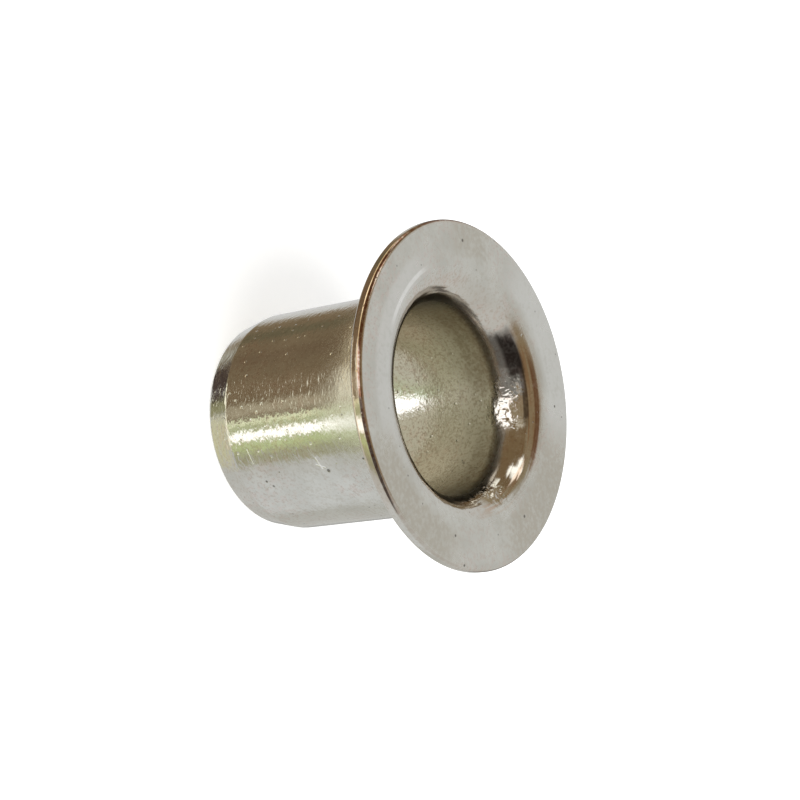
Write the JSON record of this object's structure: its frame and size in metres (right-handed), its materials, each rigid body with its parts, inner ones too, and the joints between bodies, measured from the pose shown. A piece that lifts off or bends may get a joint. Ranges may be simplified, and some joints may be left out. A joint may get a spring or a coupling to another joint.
{
  "type": "tubular rivet",
  "caption": "One-piece drawn tubular rivet: a flat round flange rolls into a thin straight barrel with a through bore and a tapered open nose for clinching.",
  "frame": {"origin": "centre of the open nose end, on the plane that it stands on", "axes": "+Z along the barrel's axis, from the nose up to the flange; X and Y are free, as the part is round"},
  "size_m": [0.0094, 0.0094, 0.0067],
  "materials": {
    "nickel_plate": "nickel plated brass, satin on the flange, drawn and slightly pebbled on the barrel, copper tint at the rim"
  },
  "bodies": {
    "root": {"rivet": "nickel_plate"}
  },
  "joints": []
}
